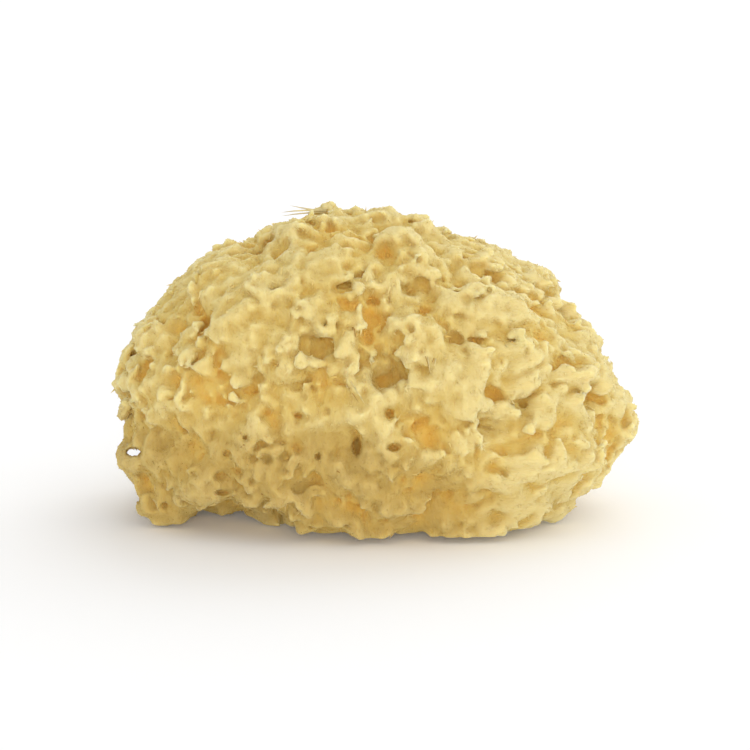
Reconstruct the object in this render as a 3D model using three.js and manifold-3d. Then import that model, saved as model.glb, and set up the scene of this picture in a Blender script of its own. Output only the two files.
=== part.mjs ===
// A dry natural bath sponge: one grown piece, with tufts and canals all over it,
// cut off flat where it grew on the rock and resting on that cut.
// Millimetres. +X is to the right and +Y to the back of the sponge, +Z is up.
// The origin is the middle of the base, below the middle of the bounding box.

import * as THREE from "three";
import { mergeVertices } from "three/addons/utils/BufferGeometryUtils.js";
import Module from "manifold-3d";

// Overall size
const WIDTH = 130;
const DEPTH = 92;
const HEIGHT = 76;

// Outline seen from the front, as shares of half the width and of the height, anticlockwise from
// the pointed lobe at the right. It runs below zero, where the flat cut takes it off.
const OUTLINE = [
  [1, 0.28],
  [0.95, 0.39],
  [0.89, 0.51],
  [0.82, 0.61],
  [0.71, 0.7],
  [0.63, 0.78],
  [0.48, 0.86],
  [0.34, 0.91],
  [0.15, 0.96],
  [-0.06, 1],
  [-0.25, 1],
  [-0.37, 0.95],
  [-0.63, 0.86],
  [-0.77, 0.76],
  [-0.92, 0.62],
  [-1, 0.47],
  [-0.98, 0.32],
  [-0.95, 0.14],
  [-0.89, 0],
  [-0.72, -0.12],
  [0, -0.16],
  [0.54, -0.12],
  [0.74, 0.03],
  [0.91, 0.17],
];
const OUTLINE_SAMPLES = 360;
const CURVE_STEPS = 4 * OUTLINE_SAMPLES;

// Height of the point that the whole body swells from, and how full its front and back are:
// 2 is an ellipsoid, more is boxier.
const HEART_HEIGHT = 0.36 * HEIGHT;
const FULLNESS = 2.4;

// Facets of the body: 20 times the square of one more than this
const BODY_DETAIL = 16;

// Lumps of tufts spread over the whole body, and how far lumps and canals stray from an even
// spread, as a share of their spacing
const LUMP_COUNT = 190;
const LUMP_RADIUS = [6, 9];
const LUMP_HEIGHT = [1.8, 5.4];
const SCATTER = 0.45;

// Larger lumps on the front, as [x, z, radius, height]
const FRONT_LUMPS = [
  [-32, 54, 9, 5.5],
  [-16, 57, 6, 4.5],
  [10, 51, 8, 6],
  [-6, 53, 6, 5],
  [-54, 35, 9, 3.5],
  [-22, 45, 6.5, 4.5],
  [-3, 35, 7, 5],
  [20, 38, 7, 5],
  [36, 50, 9, 5],
  [14, 24, 8, 4.5],
  [44, 24, 10, 4],
  [50, 40, 8, 5],
];

// Canals that open on the front, as [x, z, half width, half height, depth]
const FRONT_CANALS = [
  [2, 43, 7, 4, 12],
  [-15, 50, 4, 4, 9],
  [-20, 39, 3, 3, 10],
  [-31, 42, 4, 3.5, 9],
  [-25, 61, 3.5, 3, 8],
  [9, 63, 4.5, 3.5, 9],
  [28, 29, 5, 4, 12],
  [37, 34, 3.5, 3, 9],
  [21, 51, 3, 2.5, 9],
  [-6, 22, 2.5, 4.5, 9],
  [-27, 20, 2.2, 2.2, 10],
  [-20, 12, 2.4, 2.8, 10],
  [-54, 23, 3, 2.4, 8],
  [16, 11, 3, 2.6, 9],
  [-38, 13, 3, 2.4, 8],
];

// Canals over the rest of the body, where the way out from the heart points no further forwards
// and no further down than this
const CANAL_COUNT = 64;
const CANAL_RADIUS = [2.4, 5];
const CANAL_DEPTH = [7, 12];
const CANAL_DETAIL = 1;
const CANAL_MOST_FORWARD = -0.45;
const CANAL_MOST_DOWN = -0.25;

// The arch under the front edge, beside the left foot, as [x, half width, height, depth]
const FOOT_ARCH = [-35, 17, 9, 20];

// The pores that the flat cut opens in the base, on a spiral that leaves a clear middle and spreads
// over this share of the width and depth
const BASE_PORE_COUNT = 10;
const BASE_PORE_RADIUS = [1.6, 3];
const BASE_PORE_STRETCH = 2;
const BASE_PORE_CLEAR = 12;
const BASE_PORE_SPREAD = 0.18;

// The ground below the flat cut, as a multiple of the sponge's width and depth
const GROUND_SPREAD = 4;

const GOLDEN_ANGLE = Math.PI * (3 - Math.sqrt(5));
const MERGE_DISTANCE = 1e-4;
const SEED = 20;

const SPONGE_MATERIAL = new THREE.MeshStandardMaterial({
  name: "spongin",
  color: new THREE.Color("#d6b86f"),
  roughness: 0.95,
  metalness: 0,
});

const manifold = await Module();
manifold.setup();

// Random numbers from 0 to 1 that are the same on every run.
function randomSource(seed) {
  let state = seed;
  return () => {
    state = (state + 0x6d2b79f5) | 0;
    let mixed = Math.imul(state ^ (state >>> 15), 1 | state);
    mixed = (mixed + Math.imul(mixed ^ (mixed >>> 7), 61 | mixed)) ^ mixed;
    return ((mixed ^ (mixed >>> 14)) >>> 0) / 4294967296;
  };
}

const random = randomSource(SEED);

function randomBetween([low, high]) {
  return low + (high - low) * random();
}

// Directions spread evenly over a sphere, each moved a little at random.
function scatteredDirections(count, jitter) {
  const spacing = Math.sqrt((4 * Math.PI) / count);
  return Array.from({ length: count }, (_, i) => {
    const height = 1 - (2 * (i + 0.5)) / count;
    const ring = Math.sqrt(1 - height * height);
    const turn = i * GOLDEN_ANGLE;
    const push = () => (random() - 0.5) * 2 * jitter * spacing;
    const point = new THREE.Vector3(ring * Math.cos(turn), ring * Math.sin(turn), height);
    return point.add(new THREE.Vector3(push(), push(), push())).normalize();
  });
}

// The outline as radii around the heart, one for each step of angle.
function outlineRadii() {
  const points = OUTLINE.map(
    ([across, up]) =>
      new THREE.Vector3((across * WIDTH) / 2, 0, up * HEIGHT - HEART_HEIGHT),
  );
  const curve = new THREE.CatmullRomCurve3(points, true, "centripetal");
  const radii = new Float64Array(OUTLINE_SAMPLES).fill(NaN);
  const turn = (p) => (Math.atan2(p.z, p.x) / (2 * Math.PI) + 1) % 1;
  for (const p of curve.getPoints(CURVE_STEPS)) {
    radii[Math.floor(turn(p) * OUTLINE_SAMPLES)] = Math.hypot(p.x, p.z);
  }
  for (let i = 0; i < OUTLINE_SAMPLES; i++) {
    if (Number.isNaN(radii[i])) {
      radii[i] = radii[(i + OUTLINE_SAMPLES - 1) % OUTLINE_SAMPLES];
    }
  }
  return radii;
}

const OUTLINE_RADII = outlineRadii();

// Radius of the outline at an angle in the plane of the front view, between its two nearest steps.
function outlineRadius(angle) {
  const step = ((angle / (2 * Math.PI) + 1) % 1) * OUTLINE_SAMPLES;
  const before = Math.floor(step) % OUTLINE_SAMPLES;
  const after = (before + 1) % OUTLINE_SAMPLES;
  return THREE.MathUtils.lerp(OUTLINE_RADII[before], OUTLINE_RADII[after], step % 1);
}

// The smooth body's surface in a direction from the heart: the front outline swollen forwards and
// backwards.
function smoothSurface(direction) {
  const radius = outlineRadius(Math.atan2(direction.z, direction.x));
  const across = Math.hypot(direction.x, direction.z) / radius;
  const along = Math.abs(direction.y) / (DEPTH / 2);
  const reach = (across ** FULLNESS + along ** FULLNESS) ** (-1 / FULLNESS);
  const point = direction.clone().multiplyScalar(reach);
  point.z += HEART_HEIGHT;
  return point;
}

// The direction from the heart to the place on the smooth front at x and z.
function frontDirection(x, z) {
  const rise = z - HEART_HEIGHT;
  const across = Math.hypot(x, rise) / outlineRadius(Math.atan2(rise, x));
  const along = Math.max(0, 1 - across ** FULLNESS) ** (1 / FULLNESS);
  return new THREE.Vector3(x, (-along * DEPTH) / 2, rise).normalize();
}

// Every lump as a direction, a radius and a height.
function lumps() {
  const placed = FRONT_LUMPS.map(([x, z, radius, height]) => ({
    direction: frontDirection(x, z),
    radius,
    height,
  }));
  const scattered = scatteredDirections(LUMP_COUNT, SCATTER).map((direction) => ({
    direction,
    radius: randomBetween(LUMP_RADIUS),
    height: randomBetween(LUMP_HEIGHT),
  }));
  return [...placed, ...scattered].map((lump) => ({
    ...lump,
    centre: smoothSurface(lump.direction),
  }));
}

// The body before any canal is cut: a sphere's facets moved out to the smooth surface, and on by
// the tallest lump there.
function lumpyBody() {
  const geometry = new THREE.IcosahedronGeometry(1, BODY_DETAIL);
  const position = geometry.getAttribute("position");
  const allLumps = lumps();
  const direction = new THREE.Vector3();
  for (let i = 0; i < position.count; i++) {
    direction.fromBufferAttribute(position, i).normalize();
    const point = smoothSurface(direction);
    let rise = 0;
    for (const { centre, radius, height } of allLumps) {
      const share = point.distanceTo(centre) / radius;
      if (share < 1) {
        rise = Math.max(rise, height * Math.sqrt(1 - share * share));
      }
    }
    point.addScaledVector(direction, rise);
    position.setXYZ(i, point.x, point.y, point.z);
  }
  return geometry;
}

// A closed geometry as a solid that can be joined and cut.
function solidFrom(geometry) {
  const bare = geometry.clone();
  bare.deleteAttribute("normal");
  bare.deleteAttribute("uv");
  const merged = mergeVertices(bare, MERGE_DISTANCE);
  return new manifold.Manifold(
    new manifold.Mesh({
      numProp: 3,
      vertProperties: new Float32Array(merged.getAttribute("position").array),
      triVerts: new Uint32Array(merged.index.array),
    }),
  );
}

// A solid back as a geometry with flat facets.
function geometryFrom(solid) {
  const mesh = solid.getMesh();
  const geometry = new THREE.BufferGeometry();
  geometry.setAttribute("position", new THREE.BufferAttribute(mesh.vertProperties, mesh.numProp));
  geometry.setIndex(new THREE.BufferAttribute(mesh.triVerts, 1));
  const facets = geometry.toNonIndexed();
  facets.computeVertexNormals();
  return facets;
}

// Cuts the body off flat at height zero, sets it over the origin and gives it its overall size.
function cutAndFit(body) {
  const ground = new THREE.BoxGeometry(GROUND_SPREAD * WIDTH, GROUND_SPREAD * DEPTH, HEIGHT);
  ground.translate(0, 0, -HEIGHT / 2);
  const standing = geometryFrom(body.subtract(solidFrom(ground)));
  standing.computeBoundingBox();
  const size = standing.boundingBox.getSize(new THREE.Vector3());
  const middle = standing.boundingBox.getCenter(new THREE.Vector3());
  standing.translate(-middle.x, -middle.y, 0);
  standing.scale(WIDTH / size.x, DEPTH / size.y, HEIGHT / size.z);
  return solidFrom(standing);
}

// An egg-shaped hollow that opens at a place on the surface and runs towards the heart.
function canal(direction, halfWidth, halfHeight, depth) {
  const mouth = smoothSurface(direction);
  const hollow = new THREE.IcosahedronGeometry(1, CANAL_DETAIL);
  hollow.scale(halfWidth, halfHeight, depth);
  const frame = new THREE.Matrix4().lookAt(direction, new THREE.Vector3(), new THREE.Vector3(0, 0, 1));
  hollow.applyMatrix4(frame.setPosition(mouth));
  return solidFrom(hollow);
}

// The front's own canals.
function frontCanals() {
  return FRONT_CANALS.map(([x, z, halfWidth, halfHeight, depth]) =>
    canal(frontDirection(x, z), halfWidth, halfHeight, depth),
  );
}

// Canals on the top, sides and back, with the front left to its own.
function scatteredCanals() {
  return scatteredDirections(CANAL_COUNT, SCATTER)
    .filter(({ y, z }) => y > CANAL_MOST_FORWARD && z > CANAL_MOST_DOWN)
    .map((direction) =>
      canal(
        direction,
        randomBetween(CANAL_RADIUS),
        randomBetween(CANAL_RADIUS),
        randomBetween(CANAL_DEPTH),
      ),
    );
}

// The arch that lifts the front edge off the ground beside the left foot.
function footArch() {
  const [x, halfWidth, height, depth] = FOOT_ARCH;
  const front = smoothSurface(frontDirection(x, 0));
  const hollow = new THREE.IcosahedronGeometry(1, CANAL_DETAIL).scale(halfWidth, depth, height);
  return solidFrom(hollow.translate(front.x, front.y, 0));
}

// Pores in the flat cut, with the middle left whole to rest on.
function basePores() {
  return Array.from({ length: BASE_PORE_COUNT }, (_, i) => {
    const spread = Math.sqrt((i + 1) / BASE_PORE_COUNT) * BASE_PORE_SPREAD;
    const turn = i * GOLDEN_ANGLE;
    const radius = randomBetween(BASE_PORE_RADIUS);
    const pore = new THREE.IcosahedronGeometry(1, CANAL_DETAIL);
    pore.scale(radius, radius, BASE_PORE_STRETCH * radius);
    const x = (BASE_PORE_CLEAR + spread * WIDTH) * Math.cos(turn);
    const y = (BASE_PORE_CLEAR + spread * DEPTH) * Math.sin(turn);
    return solidFrom(pore.translate(x, y, 0));
  });
}

// The finished sponge.
function sponge() {
  let body = cutAndFit(solidFrom(lumpyBody()));
  for (const hollow of [...frontCanals(), ...scatteredCanals(), footArch(), ...basePores()]) {
    body = body.subtract(hollow);
  }
  const mesh = new THREE.Mesh(geometryFrom(body), SPONGE_MATERIAL);
  mesh.name = "sponge";
  return mesh;
}

const model = new THREE.Group();
model.add(sponge());

export default model;
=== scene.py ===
"""A dry natural bath sponge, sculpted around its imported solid.

The solid's signed distance is the rough form. Tufts and flakes are joined to it, and canals and pores
cut out of it, in a grid of distances, which is then turned into one skin. Fuzz, torn shreds and a few
loose strands are further meshes that stand on the skin. Sculpting is in millimetres, and Blender's
objects are in metres.
"""

import math

import bpy
import numpy as np
import openvdb
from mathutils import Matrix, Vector
from mathutils.bvhtree import BVHTree


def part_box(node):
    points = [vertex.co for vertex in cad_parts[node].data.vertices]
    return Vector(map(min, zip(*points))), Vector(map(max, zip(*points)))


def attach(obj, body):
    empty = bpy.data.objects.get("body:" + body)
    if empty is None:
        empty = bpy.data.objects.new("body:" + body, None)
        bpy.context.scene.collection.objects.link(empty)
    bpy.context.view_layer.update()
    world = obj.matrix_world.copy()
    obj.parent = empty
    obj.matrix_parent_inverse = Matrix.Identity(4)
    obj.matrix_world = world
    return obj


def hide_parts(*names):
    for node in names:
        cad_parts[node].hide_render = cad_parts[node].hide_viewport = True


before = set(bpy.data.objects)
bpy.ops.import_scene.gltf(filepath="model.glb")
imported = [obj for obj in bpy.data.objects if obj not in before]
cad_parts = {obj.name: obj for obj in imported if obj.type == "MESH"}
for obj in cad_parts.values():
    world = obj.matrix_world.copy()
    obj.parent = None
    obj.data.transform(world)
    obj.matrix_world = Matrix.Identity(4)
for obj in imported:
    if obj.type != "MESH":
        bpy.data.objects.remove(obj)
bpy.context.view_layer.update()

MM = 0.001
SEED = 7

# The grid of distances: its step, the room around the solid, and how far off distances are known
VOXEL = 0.6
MARGIN = 9.0
BAND = 14.0

# How many triangles the skin is thinned to
SKIN_TRIANGLES = 196_000

# The standard deviation of soft noise, and how many places are tried for each that there is room for
NOISE_SPREAD = 0.5
TRIES = 8

# How far the sponge's front edge is off the table, and where in y that rise starts and ends
FRONT_RAISED = 1.5
RISE_START = -14.0
RISE_END = -28.0

# The front, with tufts and hollows of its own, is what lies before this y and above this z
FRONT_Y = -14.0
FRONT_Z = 4.0

# The line inside the sponge that everything grows away from, as x at its two ends and its height
HEART_LEFT = -32.0
HEART_RIGHT = 36.0
HEART_HEIGHT = 25.0

# The porous skin: the heights where it starts and is full, and how much lower they are for each
# millimetre to the right of a place in x
SKIN_TOP = 33.0
SKIN_FULL = 23.0
SKIN_SLOPE = 0.35
SKIN_SLOPE_START = -5.0

# The right-hand lobe, called finger here for its long tufts: where in x it starts and is full
FINGER_START = 14.0
FINGER_FULL = 34.0

# How tufts lie: how they spread as they droop, the way they point on the right-hand lobe, and how far
# they stray from either
DROOP_SPREAD = (0.02, 0.02, 0.0)
DOWN = (0.0, 0.0, -1.0)
FINGER_WAY = np.array([1.0, 0.0, 0.35])
FLOW_STRAY = 0.7

# The search for the sculpted surface: how far out it starts, how far in it ends, and its step
SEARCH_OUT = 6.0
SEARCH_IN = -8.0
SEARCH_STEP = 0.4

# How far the solid is softened and how deep the body lies in it, the same for the floor under all
# hollows, how far tufts stand proud of the solid, and the reach and depth of the filling in pits
HULL_BLUR = 1.2
BODY_DEPTH = 1.2
HOLLOW_BLUR = 5.0
HOLLOW_DEPTH = 2.1
TUFT_PROUD = 0.1
PIT_BLUR = 0.6
PIT_DEPTH = 0.3

# How far joins and rims are rounded
TUFT_BLEND = 0.9
CANAL_BLEND = 1.2
PORE_BLEND = 0.8
THROUGH_BLEND = 0.6
HOLLOW_BLEND = 2.0
PROUD_BLEND = 1.0
PIT_BLEND = 0.3

# Tufts all over, in two sizes: their spacing, and their size as a share of the ranges that follow
TUFT_SIZES = ((8.0, 0.9), (5.0, 0.5))
TUFT_LENGTH = (6.0, 12.0)
TUFT_WIDTH = (4.0, 8.0)
TUFT_LIFT = (0.3, 1.9)

# A tuft's taper, its thickness as a share of its width and at least, the share of that which is sunk,
# how much deeper its root is, and the shares of its length before and after its place
TUFT_TAPER = (0.55, 0.9)
TUFT_THICKNESS = (0.55, 0.85)
TUFT_THINNEST = 2.4
TUFT_SINK = 0.35
TUFT_ROOT = 0.8
TUFT_BEFORE = 0.4
TUFT_AFTER = 0.6

# The lowest tuft, how much narrower tufts are on the right-hand lobe and how much flatter on the skin,
# and the shares that the skin and the front go without
TUFT_LOWEST = 7.0
TUFT_NARROWER = 0.3
TUFT_FLATTER = 0.8
TUFT_BARE_SKIN = 0.8
TUFT_BARE_FRONT = 0.6

# The front's own tufts: thickness as a share of width and at least, how much deeper the root is,
# shares of the listed lift and width, taper, and how far in one is tried that misses the solid
FRONT_TUFT_THICKNESS = 0.7
FRONT_TUFT_THINNEST = 2.8
FRONT_TUFT_ROOT = 0.6
FRONT_TUFT_LIFT = 0.7
FRONT_TUFT_WIDTH = 0.85
FRONT_TUFT_TAPER = 0.85
PULLED_IN = 0.95

# Flakes: their spacing and sizes, how deep the root is, and how steeply they rise and how often
FLAKE_SPACING = 2.3
FLAKE_LENGTH = (1.6, 3.6)
FLAKE_WIDTH = (1.3, 2.6)
FLAKE_THICK = 1.3
FLAKE_TAPER = 0.5
FLAKE_ROOT = 0.6
FLAKE_RISES = (0.1, 0.3, 0.6)
FLAKE_RISE_SHARES = (0.5, 0.4, 0.1)

# The lowest flake, the shares left out everywhere, on the skin and on the right-hand lobe, and how
# much longer and narrower flakes are on that lobe
FLAKE_LOWEST = 4.0
FLAKE_BARE = 0.25
FLAKE_BARE_SKIN = 0.5
FLAKE_BARE_FINGER = 0.65
FLAKE_LONGER = 0.9
FLAKE_NARROWER = 0.1

# Pores: spacing and sizes, the radius at the mouth and end as shares, how far they stray from straight
# in, how far out the cut starts, the lowest one, and the shares left out
PORE_SPACING = 3.8
PORE_RADIUS = (0.8, 1.6)
PORE_DEPTH = (1.2, 2.4)
PORE_FLATNESS = (1.0, 1.8)
PORE_TAPER = (1.15, 0.65)
PORE_STRAY = 0.5
PORE_REACH = 1.5
PORE_LOWEST = 3.0
PORE_BARE = 0.4
PORE_BARE_SKIN = 0.2
PORE_BARE_FINGER = 0.5

# The front's own hollows and pores: the share of the listed depth, the radius at the mouth and end as
# shares, and how far out the cut starts
FRONT_HOLLOW_DEPTH = 0.55
FRONT_HOLLOW_TAPER = (1.05, 0.55)
FRONT_HOLLOW_REACH = 6.0

# Canals in three sizes: their spacing, their size as a share of the ranges that follow, and how flat
# the flattest is
CANAL_SIZES = ((11.0, 1.0, 2.2), (8.0, 0.5, 1.5), (4.5, 0.35, 1.2))
CANAL_RADIUS = (1.6, 3.4)
CANAL_DEPTH = (3.0, 6.5)

# A canal's radius at the mouth, bend and end as shares, the shares of its depth before and after the
# bend, how far it bends, how far out the cut starts, how much narrower it is in the skin, and the
# shares of canals that the skin and the front go without
CANAL_TAPER = (1.1, 0.85, 0.5)
CANAL_BEFORE = 0.4
CANAL_AFTER = 0.6
CANAL_BEND = 0.5
CANAL_REACH = 5.0
CANAL_NARROWER = 0.45
CANAL_BARE_SKIN = 0.4
CANAL_BARE_FRONT = 0.75

# Tears: how near to the surface they reach, the sizes of coarse and fine ones, and how far those pull,
# before and after the flakes and pores
TEAR_REACH = 4.0
COARSE_TEAR = 5.0
FINE_TEAR = 2.2
FIRST_PULLS = (1.6, 0.5)
SECOND_PULLS = (0.4, 1.0)

# Roughness: the size of its lumps, their height, how much lower they are on the skin, and the share
# of them that is gone on the right-hand lobe
ROUGHNESS = ((6.0, 0.7, 0.35, 0.0), (2.8, 0.55, 0.2, 0.5), (1.3, 0.55, 0.2, 0.5))

# Crumbs: sizes and heights, the distance from a middle that moves nothing, how near to the surface
# they reach, how far and over what length their rows bend, the share gone on the skin, and how sharp
# the creases between them are
CRUMBS = ((4.4, 0.7), (2.3, 0.65))
CRUMB_LEVEL = 0.4
CRUMB_REACH = 3.0
CRUMB_BEND = 1.6
CRUMB_BEND_SIZE = 3.5
CRUMB_LESS = 0.6
CREASE = 9.0

# Long crumbs on the right-hand lobe: size, height, the way they lie, and how far they are drawn out
FEATHER_SIZE = 2.8
FEATHER_HEIGHT = 1.3
FEATHER_ANGLE = math.radians(18.0)
FEATHER_WAY = np.array([math.cos(FEATHER_ANGLE), 0.0, math.sin(FEATHER_ANGLE)])
FEATHER_DRAWN = 0.7

# Painted light and shade: each vertex gets a number that is high where much sponge is shut in around
# it and where it lies deep under the outer form, so that hollows are painted a darker, deeper golden
# colour as in shade and tips are painted pale as if lit through. Here: how far around a vertex the
# sponge counts and how much, what each millimetre of depth adds, and what is taken off everywhere
SHADE_REACHES = ((1.2, 0.3), (4.0, 0.4))
SHADE_DEPTH = 0.06
SHADE_LESS = 0.01

# How much lower the right-hand lobe's shade number is, which paints that lobe paler as if it were
# better lit, and the tones where that ends, how much of the painted shade on the low sides is gone there
# and in hollows, and the tones where a hollow starts and is full
FINGER_PAINTED_LIGHT = 0.1
PALER_TONES = (0.3, 0.5)
FINGER_LESS_SIDE_SHADE = 0.8
HOLLOW_LESS_SIDE_SHADE = 0.7
HOLLOW_TONES = (0.42, 0.6)

# Colours, linear: the sponge's by its shade number, which is low on tips painted pale as if lit through
# and high in hollows painted a darker, deeper golden colour as in shade, the darker golden colour
# painted as shade on the low sides and how much of that shows, and the loose strands' and how dark
# they are in places, with that mottling's size, detail and stops
PAINTED_SHADE_TONES = (
    (0.20, (0.68, 0.56, 0.255)),
    (0.34, (0.625, 0.475, 0.17)),
    (0.46, (0.61, 0.43, 0.125)),
    (0.64, (0.70, 0.435, 0.095)),
)
LOW_SIDE_SHADE = (0.44, 0.295, 0.085)
LOW_SIDE_SHADE_SHARE = 0.65
STRAND_PALE = (0.72, 0.60, 0.30)
STRAND_BROWN = (0.42, 0.25, 0.08)
STRAND_DARKER = 0.8
STRAND_MOTTLING = (1.0, 2.0)
STRAND_STOPS = (0.3, 0.6)

# Mottling: the size of its lumps, their detail and how far they move the tone, and the shift of the
# tone that sets their middle to nothing
MOTTLING = ((3.0, 4.0, 0.16), (0.7, 2.0, 0.06))
MOTTLING_SHIFT = -0.11

# How far light goes into the sponge, in millimetres, and by colour
LIGHT_REACH = 3.5
LIGHT_REACH_COLOURS = (1.0, 0.9, 0.7)

# The skin's relief: the size and detail of its fibres and how long they are drawn, the size and
# detail of the lumps under them and their share, and its strength and height
FIBRES = (0.6, 3.0)
FIBRE_DRAWN = 4.0
LUMPS = (1.6, 2.0)
LUMP_SHARE = 0.6
RELIEF_STRENGTH = 0.8
RELIEF_HEIGHT = 0.5

# Spikes that stand on the skin: how many, and the least and greatest length and radius
FUZZ = (48_000, (0.4, 1.0), (0.07, 0.13))
SHREDS = (9_000, (0.9, 2.0), (0.18, 0.34))

# The lowest spike, how deep its root is, and how much it follows the way out, the tufts and chance
SPIKE_LOWEST = 2.5
SPIKE_ROOT = 0.1
SPIKE_OUT = 0.5
SPIKE_FLOW = 0.4
SPIKE_STRAY = 0.5

# A strand's rings as shares of its length and radius, how far its tip lifts, and how far it bends
STRAND_RINGS = ((0.0, 1.0), (0.35, 0.9), (0.7, 0.6))
STRAND_LIFT = 0.1
STRAND_BEND = 0.15

# The photograph's camera: 750 pixels across, and the millimetres that one pixel spans at the sponge
PHOTO_SIDE = 750
PIXEL = 0.2467
LENS = 110.0
SENSOR = 36.0
ELEVATION = math.radians(10.0)
AIM = np.array([-0.4, 0.0, 34.0])
VIEW_RIGHT = np.array([1.0, 0.0, 0.0])
VIEW_UP = np.array([0.0, math.sin(ELEVATION), math.cos(ELEVATION)])
VIEW_BACK = np.array([0.0, -math.cos(ELEVATION), math.sin(ELEVATION)])
EYE = AIM + VIEW_BACK * (PHOTO_SIDE * PIXEL * LENS / SENSOR)

# The stage: half the floor's side in metres, how white it is and how much it glows, how bright the
# surround is, and each light's name, the way toward it, its energy and its breadth in degrees
FLOOR_HALF = 100.0
FLOOR_WHITE = 0.93
FLOOR_GLOW = 0.05
SURROUND = 0.6
LIGHTS = (
    ("key", (0.6, -0.5, 0.75), 0.7, 80),
    ("fill", VIEW_BACK, 1.65, 25),
    ("rim", (0.45, 0.85, 0.6), 1.3, 70),
)

# The front's own tufts as seen by that camera: millimetres across and up from the middle of the
# view, length, width, the way the tip points in degrees from the right, and how far it lifts
FRONT_TUFTS = (
    (-34, 12, 17.5, 13, -85, 4), (-40, 18.5, 12.5, 3.5, -80, 2), (-13.5, 18.5, 12.5, 9, -90, 4),
    (-14, 26, 10, 4.5, -95, 2.5), (-20.5, 26, 8, 5.5, -100, 2.5), (-22.5, 4, 11, 8.5, -60, 3.5),
    (-23, 13, 12.5, 4.5, -85, 2.5), (-43, 1.5, 8, 4, -125, 2), (-59.5, 0, 15, 4, -90, 2.5),
    (-56, -3, 16.5, 4, -90, 3), (-52.5, -2.5, 16.5, 3.5, -88, 3), (-48.5, -1, 15.5, 3.5, -85, 2.5),
    (-45.5, 14, 17.5, 4, -88, 2.5), (-33.5, 29, 15, 10, -60, 2), (-15.5, 11, 6.5, 5.5, -90, 2),
    (-6.5, 9, 13.5, 6, -110, 3.5), (-4, 22.5, 7.5, 5.5, -80, 3), (-14, -0.5, 9, 2.5, -80, 2.5),
    (10.5, 11.5, 12, 10.5, -55, 4), (-2.5, 28, 11, 9, -50, 3), (6, 23, 7.5, 4, -35, 3),
    (10, 27.5, 6, 2.5, 145, 2.5), (17, 29, 15, 5.5, -80, 2.5), (22.5, 26.5, 11.5, 5, -85, 3),
    (15.5, 19.5, 9, 4, -20, 3), (27, 15.5, 14.5, 3.5, 0, 3), (33, 18, 11, 5, 10, 3),
    (23, 4, 11, 3.5, 10, 2.5), (28.5, 2, 9, 7, 20, 3), (20, -1, 8.5, 7, -20, 3),
    (42, -0.5, 11, 6.5, 15, 3), (8, 2.5, 6.5, 4.5, -60, 2.5), (1, 6, 3.5, 2, -85, 2.5),
    (4, -1.5, 15, 6.5, 0, 3.5), (19.5, -8, 11, 5, -25, 3), (19.5, -16, 17.5, 4.5, -75, 3),
    (11, -10.5, 6, 2, -80, 2), (13.5, -11, 5.5, 2, -70, 2), (-0.5, -20.5, 4.5, 2.5, 100, 2),
    (-2, -26.5, 5, 3.5, 170, 2), (31, -16.5, 8.5, 3, 0, 3), (25.5, -7, 6.5, 3, 0, 2.5),
    (37, -10, 10, 3.5, 35, 3), (30, -27.5, 9, 6.5, 0, 2.5), (35, -21, 9.5, 5.5, 10, 3),
    (48.5, 13, 9.5, 6.5, 20, 3), (55, 7, 7.5, 4, 0, 3), (55.5, -9, 11.5, 7.5, 10, 2.5),
    (40.5, -11.5, 8.5, 3.5, 35, 2.5), (61.5, -13.5, 9, 4.5, -20, 2.5), (-11, 35.5, 10, 6.5, 80, 2),
    (2.5, 35.5, 12.5, 6.5, 60, 2), (-19.5, 37.5, 11, 2, 175, 2), (28.5, 29.5, 12.5, 6, -20, 2),
    (37, 22, 11, 6, -10, 2.5), (42.5, 22.5, 6.5, 4, 60, 3), (33.5, 8.5, 12.5, 4.5, 0, 3),
    (43, 7.5, 11.5, 4.5, 20, 2.5), (49.5, 0, 11.5, 5, 25, 2.5), (45.5, -6, 11, 4, 20, 2.5),
    (49.5, -17.5, 11.5, 5.5, 20, 2.5), (44.5, -23.5, 12.5, 6, 15, 2.5), (40.5, -31, 12.5, 6, 5, 2),
    (52, -23.5, 9, 4.5, 10, 2), (-10, -7.5, 9, 5, -100, 2.5), (-18.5, -6, 7, 4, -60, 2),
    (-3, -8, 7.5, 3.5, -60, 2),
)

# The front's own hollows, placed the same way: across, up, width, height and depth
FRONT_HOLLOWS = (
    (-23.5, 21, 5, 3.5, 6), (-15, 7, 7.5, 5.5, 9), (-19.5, -2, 4.5, 5, 9), (-31, 1.5, 6, 5, 7),
    (-8.5, 26.5, 4, 7, 5), (-16.5, 30.5, 6.5, 3, 5), (-4, 17, 3, 4.5, 7), (-27, 7, 2, 2.5, 5),
    (-4, 32, 3.5, 2, 3), (-42, 18.5, 3, 10, 4), (-41, 7.5, 3.5, 6, 4), (-35, 25.5, 3, 2, 3),
    (2, 3.5, 11, 6, 12), (2, 19, 5.5, 3, 7), (9, 30, 7.5, 5, 6), (18, 11.5, 3, 2.5, 6),
    (24.5, 18.5, 7, 2, 5), (28.5, 25.5, 4.5, 3, 3), (33, 0.5, 2.5, 3.5, 5), (13, 3, 4.5, 3.5, 6),
    (-1.5, -1, 2, 2.5, 5), (-3, 22.5, 8.5, 2, 4), (3.5, -9.5, 3, 3.5, 6), (-4.5, -17.5, 3, 10.5, 4),
    (4.5, -18, 6.5, 3.5, 4), (29, -13, 6.5, 5.5, 5.5), (30.5, -6.5, 8, 3, 4.5),
    (38.5, -6.5, 4.5, 4.5, 4.5),
    (25.5, -19, 4, 10, 5), (18.5, -29, 4, 3, 5), (0, -33, 3, 5, 5), (-6.5, -30, 2.5, 4, 4),
    (13.5, -32.5, 5.5, 2.5, 3), (18, -20, 2.5, 4.5, 4), (8.5, -13.5, 2, 2.5, 4), (48, -12, 6, 3.5, 4),
    (-36.5, -4.5, 4, 2, 3), (40.5, 11, 6, 3, 4), (45.5, 5, 5, 2.5, 4), (23.5, 8.5, 7.5, 2.5, 4),
    (36, 6, 6, 2.5, 4),
)

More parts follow.
